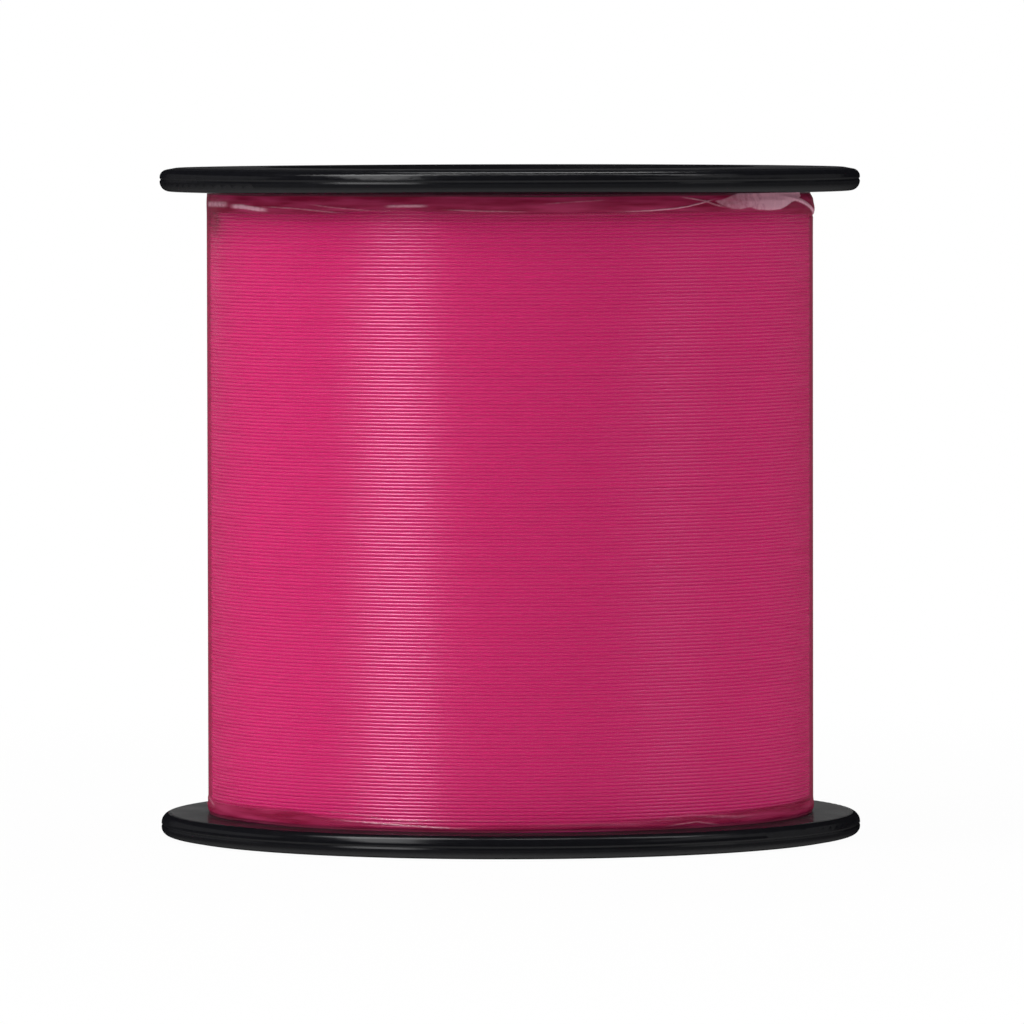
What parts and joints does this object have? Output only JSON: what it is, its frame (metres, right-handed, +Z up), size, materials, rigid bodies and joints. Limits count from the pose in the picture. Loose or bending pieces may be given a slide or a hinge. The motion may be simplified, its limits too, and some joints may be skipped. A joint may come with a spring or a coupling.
{
  "type": "fishing line spool",
  "caption": "Bulk spool of nylon fishing line: two flanges on a barrel with a centre bore, the line wound full between them and wrapped in clear film.",
  "frame": {"origin": "on the spool's axis at the lower flange's outer face, which the spool stands on", "axes": "+Z up along the spool's axis from the lower flange to the upper flange"},
  "size_m": [0.08, 0.08, 0.0765],
  "materials": {
    "flange_plastic": "glossy black moulded polystyrene",
    "barrel_plastic": "plain black moulded plastic",
    "nylon_line": "glossy translucent magenta nylon",
    "clear_film": "clear stretched film",
    "label_paper": "blank coated paper",
    "tape": "paper tape"
  },
  "bodies": {
    "root": {"lower_flange": "flange_plastic", "upper_flange": "flange_plastic", "barrel": "barrel_plastic", "line_start_tape": "tape", "line_inner_layers": "nylon_line", "line_outer_layer": "nylon_line", "wrap_film": "clear_film", "lower_label": "label_paper", "upper_label": "label_paper"}
  },
  "joints": []
}
